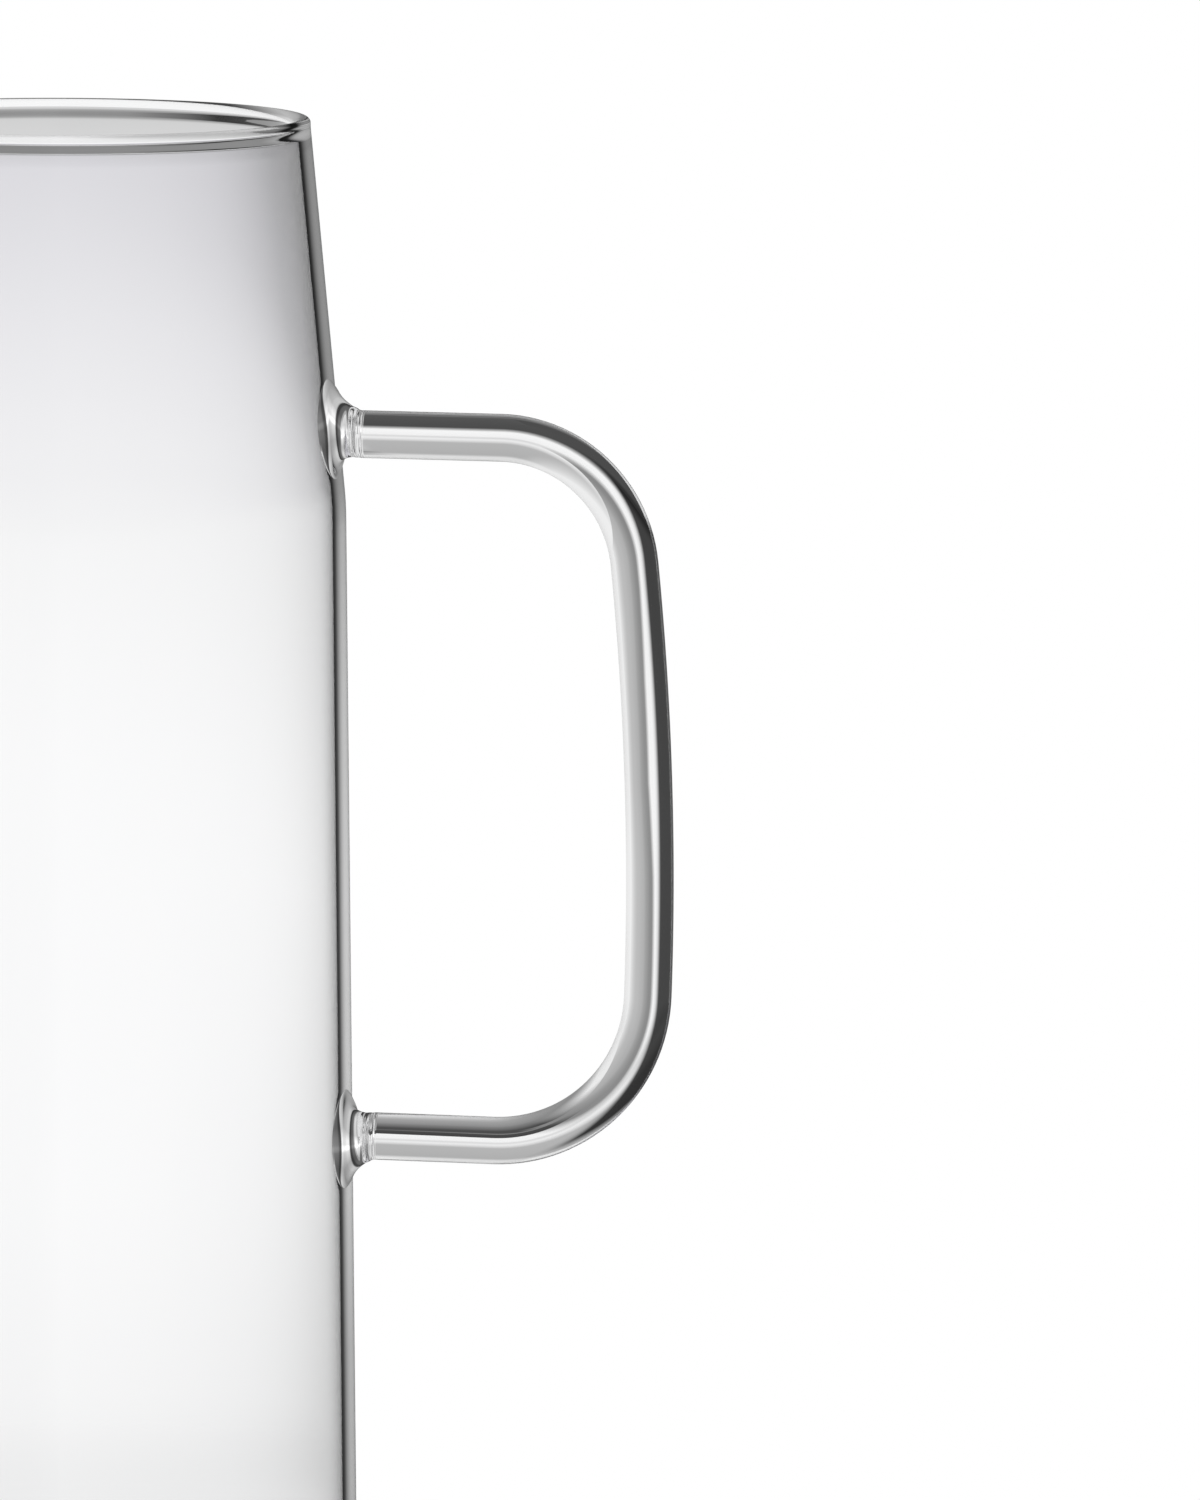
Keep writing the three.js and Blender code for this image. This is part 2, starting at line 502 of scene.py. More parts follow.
def fill_patch(bm, border, joint):
    """Rings from the grid's square border in to a bead's round foot, and the seam under the bead."""
    sizes = joint.sizes
    outside = border
    for step in range(1, PATCH_RINGS + 1):
        blend = step / PATCH_RINGS
        points = []
        for i, vert in enumerate(border):
            foot = joint.on_pad(i, 1.0)
            y = vert.co.y + (foot.y - vert.co.y) * blend
            z = vert.co.z + (foot.z - vert.co.z) * blend
            points.append(on_wall(sizes, y, z))
        inside = ring_of(bm, points)
        join_rings(bm, outside, inside)
        outside = inside
    fill_seam(bm, outside, joint.on_pad)


def fill_seam(bm, ring, point_at):
    """A seam inside a ring, from points given by their number and their share of the radius."""
    outside = ring
    for radius_share in SEAM_SHARES:
        inside = ring_of(bm, [point_at(i, radius_share) for i in range(RING_POINTS)])
        join_rings(bm, outside, inside, SEAM_SLOT)
        outside = inside
    close_ring(bm, outside, point_at(0, 0.0), SEAM_SLOT)


def make_vessel(sizes, materials):
    """The blown vessel: its section turned round the axis, with a round seam under each weld bead."""
    bm = bmesh.new()
    section, first_rows = vessel_section(sizes)
    upper, lower = joints(sizes)
    patches = list(zip(first_rows, (lower, upper)))
    taken = set().union(*(patch_cells(row) for row, _ in patches))
    hidden = set()
    half = PATCH_COLUMNS // 2
    for first_row, _ in patches:
        for row in range(first_row + 1, first_row + PATCH_ROWS):
            hidden |= {(row, column % COLUMNS) for column in range(1 - half, half)}
    grid = {}
    for row, (radius, z) in enumerate(section):
        for column in range(COLUMNS):
            if (row, column) in hidden:
                continue
            turn = 2 * math.pi * column / COLUMNS
            point = Vector((radius * math.cos(turn), radius * math.sin(turn), z))
            grid[row, column] = bm.verts.new(pull_lip(sizes, point))
    for row in range(len(section) - 1):
        for column in range(COLUMNS):
            if (row, column) in taken:
                continue
            on = (column + 1) % COLUMNS
            corners = (row, column), (row, on), (row + 1, on), (row + 1, column)
            bm.faces.new([grid[corner] for corner in corners])
    for first_row, joint in patches:
        fill_patch(bm, patch_border(grid, first_row), joint)
    last = len(section) - 1
    close_ring(bm, [grid[0, column] for column in range(COLUMNS)], (0, 0, 0))
    close_ring(bm, [grid[last, column] for column in range(COLUMNS)], (0, 0, sizes.base_thickness))
    return finish_piece(bm, "blown_vessel", ["vessel"], materials)


def make_weld(joint, name, node, materials):
    """One weld bead, with a seam on the wall's side and one on the rod's."""
    bm = bmesh.new()
    rings = []
    for step in range(FLARE_RINGS + 1):
        t = (step / FLARE_RINGS) ** FLARE_SPACING
        rings.append(ring_of(bm, [joint.on_flare(i, t) for i in range(RING_POINTS)]))
    for first, second in zip(rings, rings[1:]):
        join_rings(bm, first, second)
    fill_seam(bm, rings[0], joint.on_pad)
    fill_seam(bm, rings[-1], joint.on_neck)
    return finish_piece(bm, name, [node], materials)


def rod_path(sizes, upper, lower):
    """The rod's middle line as places and headings. A heading of 0 runs out, and a quarter turn down."""
    quarter = math.pi / 2
    upper_drop = sizes.upper_bend * (1 - math.sin(sizes.upper_lean))
    lower_drop = sizes.lower_bend * (1 - math.sin(sizes.lower_lean))
    grip_drop = sizes.upper_joint - sizes.lower_joint - upper_drop - lower_drop
    grip_radius = grip_drop / (math.sin(sizes.upper_lean) + math.sin(sizes.lower_lean))
    grip_centre = sizes.handle_reach - grip_radius
    upper_turn = grip_centre + (grip_radius - sizes.upper_bend) * math.cos(sizes.upper_lean)
    lower_turn = grip_centre + (grip_radius - sizes.lower_bend) * math.cos(sizes.lower_lean)
    place = Vector((upper.rod_face, 0, sizes.upper_joint))
    path = [(place, 0.0)]

    def run(distance, heading):
        steps = max(1, round(distance / ROD_STEP))
        start = path[-1][0]
        way = Vector((math.cos(heading), 0, -math.sin(heading)))
        path.extend((start + way * (distance * i / steps), heading) for i in range(1, steps + 1))

    def bend(radius, start, end):
        steps = max(2, round(radius * (end - start) / ROD_STEP))
        place = path[-1][0]
        for i in range(1, steps + 1):
            turn = start + (end - start) * i / steps
            out = radius * (math.sin(turn) - math.sin(start))
            down = radius * (math.cos(start) - math.cos(turn))
            path.append((place + Vector((out, 0, -down)), turn))

    run(upper_turn - upper.rod_face, 0.0)
    bend(sizes.upper_bend, 0.0, quarter - sizes.upper_lean)
    bend(grip_radius, quarter - sizes.upper_lean, quarter + sizes.lower_lean)
    bend(sizes.lower_bend, quarter + sizes.lower_lean, 2 * quarter)
    run(lower_turn - lower.rod_face, 2 * quarter)
    return path


def make_handle(sizes, materials):
    """The bent rod, with a seam at each end."""
    bm = bmesh.new()
    upper, lower = joints(sizes)
    rings = []
    for place, heading in rod_path(sizes, upper, lower):
        up = Vector((math.sin(heading), 0, math.cos(heading)))
        across = Vector((0, 1, 0))
        points = []
        for i in range(RING_POINTS):
            turn = upper.turn(i)
            spoke = across * math.cos(turn) + up * math.sin(turn)
            points.append(place + spoke * sizes.rod_radius)
        rings.append(ring_of(bm, points))
    for first, second in zip(rings, rings[1:]):
        join_rings(bm, first, second)
    fill_seam(bm, rings[0], upper.on_neck)
    # The lower end's ring runs the other way round, so its seam follows the ring itself
    last = rings[-1]
    centre = lower.on_neck(0, 0.0)
    fill_seam(bm, last, lambda i, radius_share: centre.lerp(last[i].co, radius_share))
    return finish_piece(bm, "rod_handle", ["handle"], materials)


class NodeKit:
    """Adds nodes to one emptied node tree, and links them."""

    def __init__(self, tree, output_kind):
        self.nodes = tree.nodes
        self.links = tree.links
        self.nodes.clear()
        self.output = self.new(output_kind)

    def new(self, kind):
        """A new node."""
        return self.nodes.new("ShaderNode" + kind)

    def feed(self, socket, value):
        """Gives a socket a plain number, or links another socket to it."""
        if isinstance(value, (int, float)):
            socket.default_value = value
        else:
            self.links.new(value, socket)

    def math(self, operation, *values):
        """Arithmetic on sockets or plain numbers."""
        node = self.new("Math")
        node.operation = operation
        for socket, value in zip(node.inputs, values):
            self.feed(socket, value)
        return node.outputs[0]

    def more_than(self, number, count):
        """1 where a whole number is greater than the count, and 0 elsewhere."""
        return self.math("GREATER_THAN", number, count + 0.5)

    def choose(self, factor, first, second):
        """The first value, or the second where the factor is 1."""
        node = self.new("Mix")
        for name, value in (("Factor", factor), ("A", first), ("B", second)):
            self.feed(node.inputs[name], value)
        return node.outputs["Result"]

    def graded(self, value, stops):
        """A grey level read from stops given in the value's own unit."""
        low, high = stops[0][0], stops[-1][0]
        span = high - low
        ramp = self.new("ValToRGB")
        elements = ramp.color_ramp.elements
        while len(elements) < len(stops):
            elements.new(0.5)
        for element, (place, level) in zip(elements, stops):
            element.position = (place - low) / span
            element.color = (level, level, level, 1)
        self.feed(ramp.inputs["Fac"], self.math("MULTIPLY_ADD", value, 1 / span, -low / span))
        return ramp.outputs["Color"]

    def mix_colours(self, factor, first, second):
        """The first colour, turning into the second where the factor is 1."""
        node = self.new("Mix")
        node.data_type = "RGBA"
        node.inputs["A"].default_value = (*first, 1)
        node.inputs["B"].default_value = (*second, 1)
        self.feed(node.inputs["Factor"], factor)
        return node.outputs["Result"]

    def mix_shaders(self, factor, first, second):
        """The first shader, or the second where the factor is 1."""
        node = self.new("MixShader")
        for socket, value in zip(node.inputs, (factor, first, second)):
            self.feed(socket, value)
        return node.outputs["Shader"]

    def see_through(self, colour=(1, 1, 1)):
        """A shader that lets light straight through."""
        node = self.new("BsdfTransparent")
        node.inputs["Color"].default_value = (*colour, 1)
        return node.outputs["BSDF"]

    def glow(self, strength):
        """A shader that shows a level of brightness."""
        node = self.new("Emission")
        self.feed(node.inputs["Strength"], strength)
        return node.outputs["Emission"]

    def show(self, shader):
        """Links the finished shader to the output."""
        self.feed(self.output.inputs["Surface"], shader)


def new_material(name):
    material = bpy.data.materials.new(name)
    material.use_nodes = True
    return material, NodeKit(material.node_tree, "OutputMaterial")


def worked_glass_group():
    """Faint marks of hot-worked glass: drawn streaks in tint and polish, and slow waves in the skin."""
    name = "worked_glass_marks"
    tree = bpy.data.node_groups.get(name)
    if tree:
        return tree
    tree = bpy.data.node_groups.new(name, "ShaderNodeTree")
    sockets = tree.interface
    for label in ("Streak Scale", "Wave Scale"):
        sockets.new_socket(label, in_out="INPUT", socket_type="NodeSocketFloat")
    for label in ("Streaks", "Waves"):
        sockets.new_socket(label, in_out="OUTPUT", socket_type="NodeSocketFloat")
    nodes, links = tree.nodes, tree.links
    given = nodes.new("NodeGroupInput")
    made = nodes.new("NodeGroupOutput")
    place = nodes.new("ShaderNodeTexCoord")
    drawn = nodes.new("ShaderNodeMapping")
    drawn.inputs["Scale"].default_value = STREAK_DRAW
    links.new(place.outputs["Object"], drawn.inputs["Vector"])
    streaks = nodes.new("ShaderNodeTexNoise")
    streaks.inputs["Detail"].default_value = STREAK_DETAIL
    waves = nodes.new("ShaderNodeTexNoise")
    waves.inputs["Detail"].default_value = WAVE_DETAIL
    links.new(drawn.outputs["Vector"], streaks.inputs["Vector"])
    links.new(place.outputs["Object"], waves.inputs["Vector"])
    links.new(given.outputs["Streak Scale"], streaks.inputs["Scale"])
    links.new(given.outputs["Wave Scale"], waves.inputs["Scale"])
    links.new(streaks.outputs["Fac"], made.inputs["Streaks"])
    links.new(waves.outputs["Fac"], made.inputs["Waves"])
    for node, location in (
        (given, (-700, 0)),
        (place, (-700, -200)),
        (drawn, (-480, -120)),
        (streaks, (-240, 120)),
        (waves, (-240, -180)),
        (made, (500, 0)),
    ):
        node.location = location
    return tree


def clear_glass(name, look):
    """Clear glass with faint marks of its making. Lamps, and light caught in a wall, pass it freely."""
    material, kit = new_material(name)
    streak_scale, wave_scale, wave_height = GLASS_MARKS[name]
    marks = kit.new("Group")
    marks.node_tree = worked_glass_group()
    marks.inputs["Streak Scale"].default_value = streak_scale
    marks.inputs["Wave Scale"].default_value = wave_scale
    streaks = marks.outputs["Streaks"]
    polish = kit.new("MapRange")
    polish.inputs["From Min"].default_value = HAZE_START
    polish.inputs["From Max"].default_value = HAZE_END
    polish.inputs["To Min"].default_value = look.polish
    polish.inputs["To Max"].default_value = look.polish + look.haze
    kit.feed(polish.inputs["Value"], streaks)
    bump = kit.new("Bump")
    bump.inputs["Strength"].default_value = 1.0
    bump.inputs["Distance"].default_value = wave_height
    kit.feed(bump.inputs["Height"], marks.outputs["Waves"])
    glass = kit.new("BsdfPrincipled")
    glass.inputs["Metallic"].default_value = 0.0
    glass.inputs["Transmission Weight"].default_value = 1.0
    glass.inputs["IOR"].default_value = look.bend
    kit.feed(glass.inputs["Base Color"], kit.mix_colours(streaks, look.colour, look.deep_colour))
    kit.feed(glass.inputs["Roughness"], polish.outputs["Result"])
    kit.feed(glass.inputs["Normal"], bump.outputs["Normal"])
    path = kit.new("LightPath").outputs
    lamp_lit = kit.mix_shaders(path["Is Shadow Ray"], glass.outputs["BSDF"], kit.see_through(LAMP_TINT))
    kit.show(kit.mix_shaders(path["Is Reflection Ray"], lamp_lit, kit.see_through()))
    return material


def fused_seam():
    """Where two pieces are fused there is no face to see, so the seam bends no light."""
    name = "fused_seam"
    made = bpy.data.materials.get(name)
    if made:
        return made
    material, kit = new_material(name)
    kit.show(kit.see_through())
    return material


def set_camera(sizes, studio):
    """Stands the camera so that the rim's centre falls where the photograph has it."""
    focus = studio.lens / SENSOR * PHOTO_HEIGHT
    beside = PHOTO_WIDTH / 2 - RIM_CENTRE_X
    above = PHOTO_HEIGHT / 2 - RIM_CENTRE_Y
    aside = math.atan(beside / focus)
    tilt = studio.rim_tilt + math.atan(above / math.hypot(focus, beside))
    turn = studio.turn
    level = Vector((math.cos(turn), math.sin(turn), 0))
    away = Vector((-math.sin(turn), math.cos(turn), 0))
    up = away * math.sin(tilt) + Vector((0, 0, math.cos(tilt)))
    back = Vector((0, 0, math.sin(tilt))) - away * math.cos(tilt)
    right = level * math.cos(aside) + back * math.sin(aside)
    behind = back * math.cos(aside) - level * math.sin(aside)
    sight = up * above / focus - right * beside / focus - behind
    eye = Vector((0, 0, sizes.height)) - sight * studio.distance
    data = bpy.data.cameras.new("photo_camera")
    data.lens = studio.lens
    data.sensor_width = SENSOR
    data.clip_end = CAMERA_REACH
    camera = new_object("photo_camera", data)
    camera.matrix_world = Matrix.Translation(eye) @ Matrix((right, up, behind)).transposed().to_4x4()
    bpy.context.scene.camera = camera


# Brightness of the studio through one piece of glass, by degrees right of the camera's view
AROUND = (
    (-180, 0.6), (-130, 0.3), (-100, 0.06), (-15, 0.05), (-10, 0.8), (-7, 1.0), (35, 1.0), (180, 0.7),
)
# The same by degrees above level
UPWARD = (
    (-90, 0.1), (-20.5, 0.07), (-17, 0.5), (-14.5, 1.0), (-7, 0.95), (-4.6, 0.72), (-2, 0.9),
    (1, 0.72), (4, 0.48), (29, 0.45), (38, 0.8), (90, 0.9),
)
# Where the dark flags beside the camera end, by degrees above level
FLAG_ENDS = ((-24, 1.0), (-19, 0.0), (17, 0.0), (27, 1.0))
# Where the right side takes over from the grading above, by degrees right of the camera's view
RIGHT_SIDE = ((8, 0.0), (25, 1.0))
RIGHT_LEVEL = 0.9
# Brightness of the backdrop seen through the whole vessel, by degrees above level
BACKDROP = (
    (-40, 0.97), (-14, 0.92), (-11, 0.91), (-10.5, 0.97), (-9.6, 1.01), (-7.5, 1.02), (-6.9, 1.005),
    (-6.3, 0.98), (-5.75, 0.94), (-5.3, 0.89), (-4.8, 0.82), (-4.2, 0.75), (-3.5, 0.7), (-1.5, 0.6),
    (2, 0.35), (20, 0.25),
)
# How the backdrop falls off to the sides, by degrees right of the camera's view
BACKDROP_SIDES = (
    (-180, 0.95), (-14, 0.86), (-3, 1.0), (0.2, 1.0), (1.3, 0.94), (3.5, 0.78), (4.7, 0.63), (7, 0.47),
    (13, 0.3), (20, 0.28), (60, 0.9), (180, 0.95),
)
# How strongly it falls off, by degrees above level
FALL_OFF = (
    (-11, 0.6), (-10.5, 0.33), (-8, 0.05), (-6.9, 0.17), (-6.4, 0.19), (-5.9, 0.27), (-5.4, 0.37),
    (-4.8, 0.75), (-3.6, 1.0),
)
# How far the backdrop turns lilac, by degrees above level
LILAC = ((-6.5, 0.0), (-4.5, 1.0))
# Brightness of the studio mirrored on the outside of the glass, by degrees right of the camera's view
MIRRORED = (
    (-180, 0.6), (-60, 0.8), (-6, 1.0), (-2, 0.7), (1, 0.3), (5, 0.1), (60, 0.1), (110, 0.3), (180, 0.6),
)
# The same by degrees above level
MIRRORED_UPWARD = ((-90, 0.6), (-20, 0.8), (-6, 1.0), (-2, 0.7), (2, 0.3), (30, 0.15), (90, 0.4))
# Brightness of the studio mirrored inside the wall, by degrees right of the camera's view
CAUGHT = (
    (-180, 0.5), (-172, 0.15), (-140, 0.12), (-100, 0.1), (-60, 1.7), (-48, 1.6), (-30, 1.4),
    (-24, 0.9), (8, 0.9), (12, 0.3), (23, 0.25), (26, 0.1), (31, 0.1), (34, 1.3), (42, 1.3),
    (44, 1.15), (48, 1.08), (52, 1.0), (54, 0.93), (56.4, 0.8), (58.4, 0.58), (60.3, 0.32),
    (61.5, 0.1), (62.5, 0.02), (68, 0.01), (74, 0.4), (100, 0.7), (180, 0.7),
)
# The same by degrees above level
CAUGHT_UPWARD = (
    (-90, 0.35), (-32, 0.35), (-25, 0.5), (-12, 0.45), (-8, 0.75), (-6.4, 0.7), (-5.9, 0.92),
    (-4.7, 1.02), (-3.4, 0.58), (0, 0.45), (3, 0.33), (6, 0.36), (11, 0.5), (30, 0.5), (90, 0.6),
)
# Brightness of the studio mirrored in the wall behind
MIRRORED_BEHIND = 0.9
# The same, mirrored on the outside of the vessel and seen through the handle
MIRRORED_BESIDE = 0.07
# Brightness of the studio for the camera, and of its light on matt things
WHITE = 1.0
SOFT_LIGHT = 0.75

# How far the floor has faded to white, by metres from the pitcher's axis
FLOOR_FADE = ((0.06, 0.45), (0.14, 1.0))
# Brightness of the floor through one piece of glass, by metres from the pitcher's axis
GROUND = ((0.0, 0.9), (0.06, 0.87), (0.085, 0.5), (0.1, 0.38), (0.15, 0.25))
# How much of the floor is seen through the glass, before the backdrop takes over
GROUND_SHOWN = ((0.14, 1.0), (0.2, 0.0))
# Brightness of the floor through the whole vessel, by metres right of the pitcher's axis
FLOOR_THROUGH_VESSEL = ((0.0, 0.9), (0.018, 0.88), (0.036, 0.86), (0.055, 0.78), (0.075, 0.72))
FLOOR_SEGMENTS = 96
# The floor lies this far under the base, so that the two don't share a face
FLOOR_GAP = 0.2 * MM

# Painted light and shade: glow levels of the cards behind the neck and beside it, bright at the bottom
# and darker above, by metres above the table
NECK_PAINTED_LEVELS = (
    (0.246, 1.0), (0.2475, 0.7), (0.2525, 0.67), (0.256, 0.58), (0.2585, 0.45), (0.262, 0.32),
    (0.265, 0.26), (0.27, 0.25), (0.3, 0.3),
)
# Painted shade: glow levels of the card behind the handle's lower arm, nearly black below its top edge,
# by metres above the table
LOW_LEVELS = ((0.05, 0.07), (0.0612, 0.05), (0.0625, 0.4))
# Painted shade: glow levels of the card behind the grip, darker near the pitcher's axis and lighter to
# the right, by metres right of the pitcher's axis
GRIP_PAINTED_LEVELS = (
    (0.092, 0.25), (0.104, 0.26), (0.116, 0.34), (0.124, 0.43), (0.142, 0.49), (0.155, 0.51),
    (0.167, 0.58), (0.186, 0.72), (0.2, 0.8),
)
# How far the painted shade levels behind the grip bow to the right, by metres above the table
GRIP_PAINTED_BOW = ((0.1, 0.0), (0.117, 0.002), (0.134, 0.0116), (0.152, 0.0083), (0.168, 0.0))
# Painted shade: glow levels of the card behind the end of the rim, falling to nearly black to the right,
# by metres right of the pitcher's axis
RIM_LEVELS = ((0.012, 0.27), (0.024, 0.12), (0.03, 0.01), (0.05, 0.01))
# How far behind the pitcher's axis a card stands, and the same for one that stands before another
CARD_DISTANCE = 0.1
NEAR_CARD_DISTANCE = 0.099
# Width over which a card fades out at its sides
CARD_FADE = 10 * MM
# The glowing cards that paint light and shade into what the glass shows: the axis of their levels, their
# sides right of the pitcher's axis, and their lower and upper edges above the table
CARDS = {
    # Glowing card of painted light and shade behind the neck
    "painted_light_neck_card": {
        "levels": NECK_PAINTED_LEVELS,
        "axis": "Z",
        "sides": (-0.1, 0.05),
        "edges": (0.175, 0.3),
    },
    # Glowing card of painted light and shade beside the neck
    "side_card": {
        "levels": NECK_PAINTED_LEVELS,
        "axis": "Z",
        "sides": (-0.1, 0.1),
        "edges": (0.2, 0.3),
        "turn": math.radians(75),
    },
    # Glowing card of painted shade behind the grip
    "grip_painted_shade_card": {
        "levels": GRIP_PAINTED_LEVELS,
        "axis": "X",
        "sides": (0.092, 0.2),
        "edges": (0.04, 0.2),
        "bow": GRIP_PAINTED_BOW,
    },
    # Dark glowing card of painted shade behind the handle's lower arm
    "low_card": {
        "levels": LOW_LEVELS,
        "axis": "Z",
        "sides": (0.04, 0.1),
        "edges": (0.05, 0.0625),
        "distance": NEAR_CARD_DISTANCE,
    },
    # Dark glowing card of painted shade behind the end of the rim
    "rim_card": {
        "levels": RIM_LEVELS,
        "axis": "X",
        "sides": (0.012, 0.05),
        "edges": (0.2632, 0.2705),
        "distance": NEAR_CARD_DISTANCE,
    },
}

# The soft lamp above the pitcher, and the point that it faces
SOFTBOX_PLACE = (-0.2, -0.3, 1.4)
SOFTBOX_AIM = (0, 0, 0.13)
SOFTBOX_SIZE = 1.0
SOFTBOX_POWER = 6.0


class RayKinds:
    """Sorts the light that reaches the stage by the way it came through the glass."""

    def __init__(self, kit):
        path = kit.new("LightPath").outputs
        faces = path["Transmission Depth"]
        self.camera = path["Is Camera Ray"]
        self.shiny = kit.math("MAXIMUM", path["Is Glossy Ray"], path["Is Transmission Ray"])
        self.mirrored = kit.more_than(path["Glossy Depth"], 0)
        self.entered = kit.more_than(faces, 0)
        self.passed_wall = kit.more_than(faces, 1)
        self.whole_vessel = kit.more_than(faces, 2)
        self.rod_and_vessel = kit.more_than(faces, 4)
        self.let_out = kit.more_than(path["Transparent Depth"], 1)


def studio_angles(kit, studio):
    """Degrees right of the camera's view and degrees above level, for a direction of light."""
    place = kit.new("TexCoord")
    turned = kit.new("VectorRotate")
    turned.rotation_type = "Z_AXIS"
    turned.inputs["Angle"].default_value = -studio.turn
    kit.feed(turned.inputs["Vector"], place.outputs["Generated"])
    axes = kit.new("SeparateXYZ")
    kit.feed(axes.inputs["Vector"], turned.outputs["Vector"])
    around = kit.math("ARCTAN2", axes.outputs["X"], axes.outputs["Y"])
    upward = kit.math("ARCSINE", axes.outputs["Z"])
    return [kit.math("MULTIPLY", turn, 180 / math.pi) for turn in (around, upward)]


def light_the_world(studio):
    """A white studio for the camera, a plain soft light, and a graded backdrop for the glass."""
    world = bpy.data.worlds.new("studio")
    bpy.context.scene.world = world
    world.use_nodes = True
    kit = NodeKit(world.node_tree, "OutputWorld")
    rays = RayKinds(kit)
    around, upward = studio_angles(kit, studio)

    open_sky = kit.graded(upward, FLAG_ENDS)
    sides = kit.choose(open_sky, kit.graded(around, AROUND), 1.0)
    right = kit.graded(around, RIGHT_SIDE)
    grading = kit.choose(right, kit.graded(upward, UPWARD), RIGHT_LEVEL)
    once = kit.math("MULTIPLY", sides, grading)
    fall_off = kit.graded(upward, FALL_OFF)
    falling = kit.choose(fall_off, 1.0, kit.graded(around, BACKDROP_SIDES))
    whole = kit.math("MULTIPLY", kit.graded(upward, BACKDROP), falling)
    outside = kit.math("MULTIPLY", kit.graded(around, MIRRORED), kit.graded(upward, MIRRORED_UPWARD))
    inside = kit.math("MULTIPLY", kit.graded(around, CAUGHT), kit.graded(upward, CAUGHT_UPWARD))
    behind = kit.choose(rays.let_out, MIRRORED_BESIDE, MIRRORED_BEHIND)
    inside = kit.choose(rays.passed_wall, inside, behind)
    mirrored = kit.choose(rays.entered, outside, inside)
    seen = kit.choose(rays.whole_vessel, once, whole)
    seen = kit.choose(rays.rod_and_vessel, seen, sides)
    seen = kit.choose(rays.mirrored, seen, mirrored)
    plain = kit.choose(rays.camera, SOFT_LIGHT, WHITE)

    lilac = kit.math("MULTIPLY", kit.graded(upward, LILAC), rays.whole_vessel)
    background = kit.new("Background")
    kit.feed(background.inputs["Color"], kit.mix_colours(lilac, (1, 1, 1), studio.backdrop_colour))
    kit.feed(background.inputs["Strength"], kit.choose(rays.shiny, plain, seen))
    kit.show(background.outputs["Background"])


def floor_material(studio):
    """A pale floor that fades to white and keeps the pitcher's shadow. Near the pitcher, glass sees it
    glow at graded levels, painted light and shade; farther out, and in reflections, glass sees beyond it.
    """
    material, kit = new_material("pale_floor")
    rays = RayKinds(kit)
    place = kit.new("TexCoord").outputs["Object"]
    reach = kit.new("VectorMath")
    reach.operation = "LENGTH"
    kit.feed(reach.inputs[0], place)
    reach = reach.outputs["Value"]
    aside = kit.new("VectorMath")
    aside.operation = "DOT_PRODUCT"
    aside.inputs[1].default_value = (math.cos(studio.turn), math.sin(studio.turn), 0)
    kit.feed(aside.inputs[0], place)
    aside = aside.outputs["Value"]

    matt = kit.new("BsdfDiffuse")
    matt.inputs["Color"].default_value = (*studio.floor_colour, 1)
    plain = kit.mix_shaders(kit.graded(reach, FLOOR_FADE), matt.outputs["BSDF"], kit.glow(WHITE))
    # Seen through glass near the pitcher, the floor glows at graded levels: painted light and shade
    behind = kit.graded(aside, FLOOR_THROUGH_VESSEL)
    level = kit.choose(rays.whole_vessel, kit.graded(reach, GROUND), behind)
    shown = kit.choose(rays.mirrored, kit.graded(reach, GROUND_SHOWN), 0.0)
    through_glass = kit.mix_shaders(shown, kit.see_through(), kit.glow(level))
    kit.show(kit.mix_shaders(rays.shiny, plain, through_glass))
    return material


def card_material(name, levels, axis, ends, bow):
    """A glowing card of painted light and shade, graded across or upward, with faded sides, which shows
    only through one piece of glass.
    """
    material, kit = new_material(name)
    rays = RayKinds(kit)
    axes = kit.new("SeparateXYZ")
    kit.feed(axes.inputs["Vector"], kit.new("TexCoord").outputs["Object"])
    across, upward = axes.outputs["X"], axes.outputs["Z"]
    if bow:
        across = kit.math("SUBTRACT", across, kit.graded(upward, bow))
    along = {"X": across, "Z": upward}[axis]
    hidden = kit.math("MAXIMUM", rays.whole_vessel, rays.mirrored)
    hidden = kit.math("MAXIMUM", hidden, kit.graded(across, ends))
    # Where it shows, the card glows at its painted levels of light and shade
    kit.show(kit.mix_shaders(hidden, kit.glow(kit.graded(along, levels)), kit.see_through()))
    return material


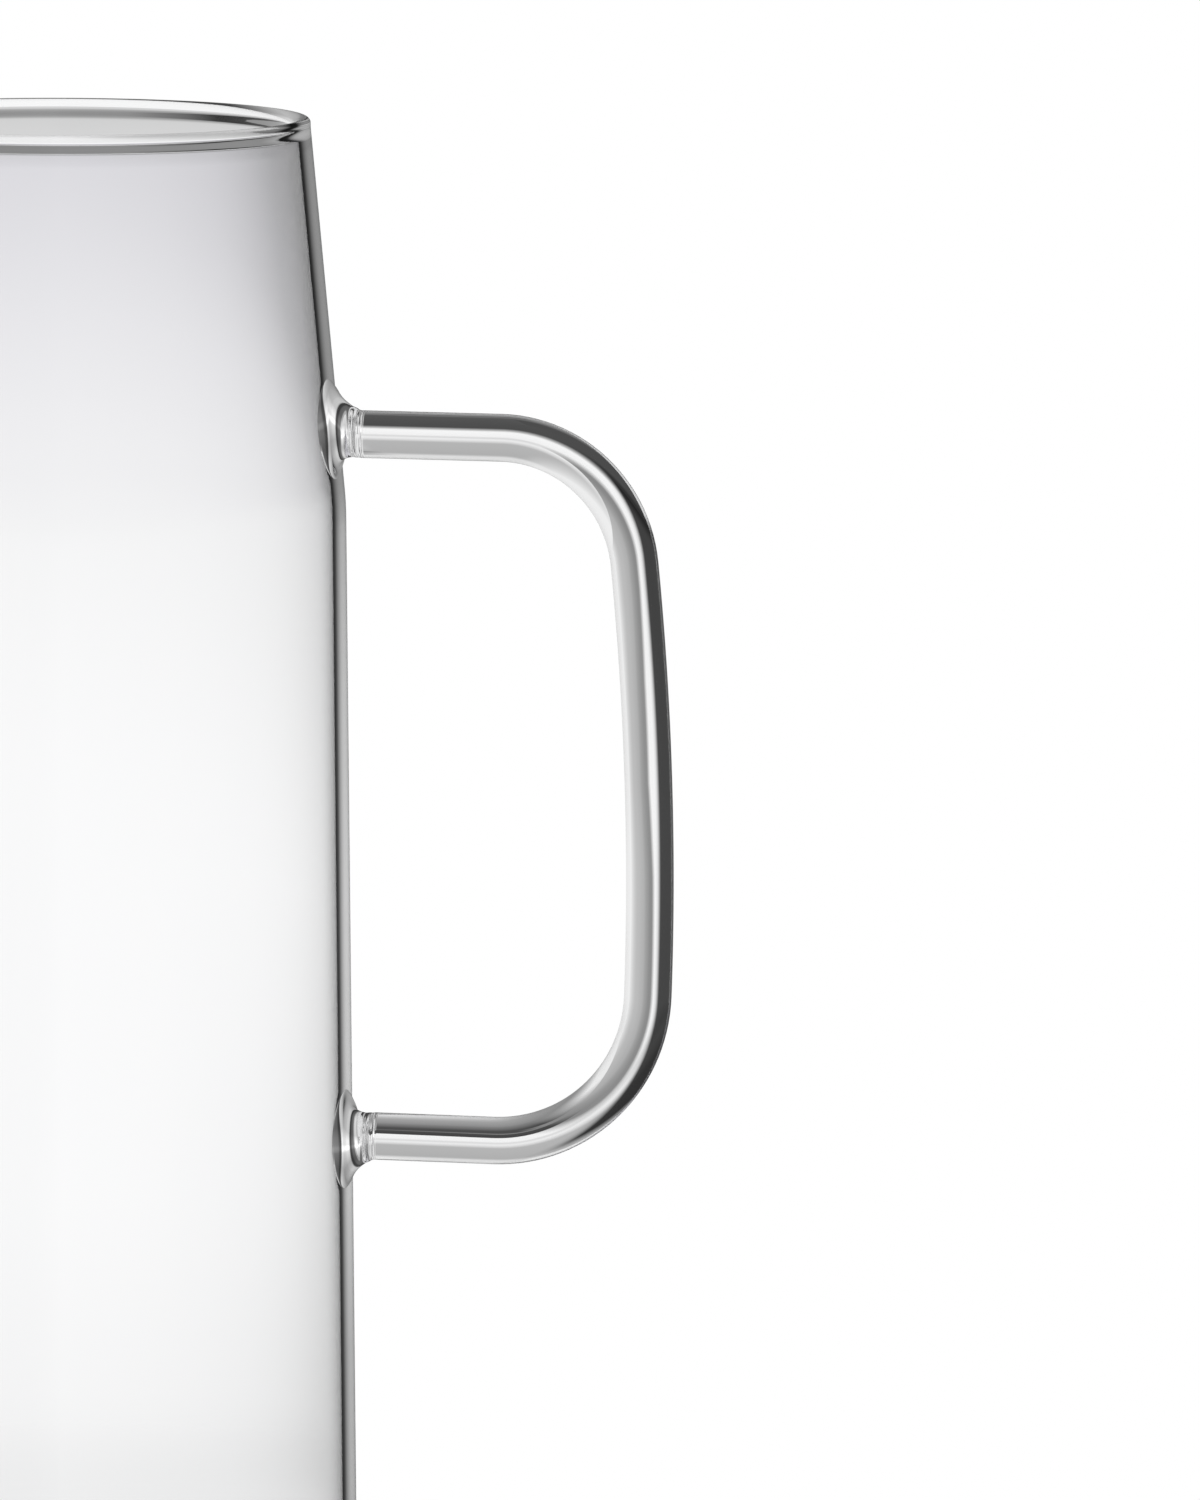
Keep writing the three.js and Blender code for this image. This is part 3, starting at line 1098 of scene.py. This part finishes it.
def stand_card(studio, name, levels, axis, sides, edges, distance=CARD_DISTANCE, turn=0.0, bow=()):
    """A small glowing card behind the pitcher, square to the camera or turned, that stands in for the
    cards photographers set for glass: it paints light and shade into what the glass shows.
    """
    left, right = sides
    low, high = edges
    fade = CARD_FADE / 2
    ends = ((left - fade, 1.0), (left + fade, 0.0), (right - fade, 0.0), (right + fade, 1.0))
    left, right = left - fade, right + fade
    bm = bmesh.new()
    corners = (left, low), (right, low), (right, high), (left, high)
    bm.faces.new([bm.verts.new((x, distance, z)) for x, z in corners])
    mesh = new_mesh(name, bm)
    mesh.materials.append(card_material(name, levels, axis, ends, bow))
    card = new_object(name, mesh)
    card.rotation_euler.z = studio.turn + turn
    card.visible_camera = False
    card.visible_diffuse = False
    card.visible_glossy = False
    card.visible_shadow = False
    card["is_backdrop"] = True


def lay_floor(studio):
    """A round pale floor under the pitcher."""
    bm = bmesh.new()
    bmesh.ops.create_circle(bm, cap_ends=True, segments=FLOOR_SEGMENTS, radius=studio.floor_radius)
    mesh = new_mesh("floor", bm)
    mesh.materials.append(floor_material(studio))
    floor = new_object("floor", mesh)
    floor.location.z = -FLOOR_GAP
    floor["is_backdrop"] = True


def hang_softbox():
    """A soft lamp that faces the middle of the pitcher."""
    data = bpy.data.lights.new("top_softbox", "AREA")
    data.energy = SOFTBOX_POWER
    data.shape = "SQUARE"
    data.size = SOFTBOX_SIZE
    lamp = new_object("top_softbox", data)
    lamp.location = SOFTBOX_PLACE
    aim = Vector(SOFTBOX_AIM) - Vector(SOFTBOX_PLACE)
    lamp.rotation_euler = aim.to_track_quat("-Z", "Y").to_euler()
    lamp.visible_glossy = False
    lamp.visible_transmission = False


class PITCHER_OT_vessel(bpy.types.Operator):
    """Build the blown vessel"""

    bl_idname = "pitcher.vessel"
    bl_label = "Vessel"

    def execute(self, context):
        glass = clear_glass("blown_glass", context.scene.pitcher_glass)
        make_vessel(context.scene.pitcher_sizes, (glass, fused_seam()))
        return {"FINISHED"}


class PITCHER_OT_handle(bpy.types.Operator):
    """Build the bent rod handle"""

    bl_idname = "pitcher.handle"
    bl_label = "Handle"

    def execute(self, context):
        glass = clear_glass("drawn_rod_glass", context.scene.pitcher_glass)
        make_handle(context.scene.pitcher_sizes, (glass, fused_seam()))
        return {"FINISHED"}


class PITCHER_OT_welds(bpy.types.Operator):
    """Build the two weld beads"""

    bl_idname = "pitcher.welds"
    bl_label = "Weld beads"

    def execute(self, context):
        glass = clear_glass("welded_glass", context.scene.pitcher_glass)
        upper, lower = joints(context.scene.pitcher_sizes)
        make_weld(upper, "upper_weld_bead", "upper_weld", (glass, fused_seam()))
        make_weld(lower, "lower_weld_bead", "lower_weld", (glass, fused_seam()))
        return {"FINISHED"}


class PITCHER_OT_stage(bpy.types.Operator):
    """Set the camera, the floor and the light"""

    bl_idname = "pitcher.stage"
    bl_label = "Stage"

    def execute(self, context):
        context.scene.view_settings.view_transform = "Standard"
        studio = context.scene.pitcher_studio
        set_camera(context.scene.pitcher_sizes, studio)
        lay_floor(studio)
        light_the_world(studio)
        for name, card in CARDS.items():
            stand_card(studio, name, **card)
        hang_softbox()
        return {"FINISHED"}


class PITCHER_PT_panel(bpy.types.Panel):
    """Lists the pieces of the pitcher"""

    bl_label = "Glass Pitcher"
    bl_idname = "PITCHER_PT_panel"
    bl_space_type = "VIEW_3D"
    bl_region_type = "UI"
    bl_category = "Pitcher"

    def draw(self, context):
        for operator in OPERATORS:
            self.layout.operator(operator.bl_idname)
        for group in ("pitcher_sizes", "pitcher_glass", "pitcher_studio"):
            settings = getattr(context.scene, group)
            box = self.layout.box()
            for name in settings.bl_rna.properties.keys():
                if name not in ("rna_type", "name"):
                    box.prop(settings, name)


OPERATORS = (PITCHER_OT_vessel, PITCHER_OT_handle, PITCHER_OT_welds, PITCHER_OT_stage)
GROUPS = {
    "pitcher_sizes": PitcherSizes,
    "pitcher_glass": GlassLook,
    "pitcher_studio": StudioLook,
}
CLASSES = (*GROUPS.values(), *OPERATORS, PITCHER_PT_panel)


def register():
    for cls in CLASSES:
        bpy.utils.register_class(cls)
    for name, group in GROUPS.items():
        setattr(bpy.types.Scene, name, bpy.props.PointerProperty(type=group))


def unregister():
    for name in GROUPS:
        delattr(bpy.types.Scene, name)
    for cls in reversed(CLASSES):
        bpy.utils.unregister_class(cls)


def main():
    register()
    bpy.ops.pitcher.stage()
    bpy.ops.pitcher.vessel()
    bpy.ops.pitcher.handle()
    bpy.ops.pitcher.welds()
    boxes = {"cad": cad_box, "visual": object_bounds()}
    {name: [list(map(float, corner)) for corner in box] for name, box in boxes.items()}


if __name__ == "__main__":
    main()
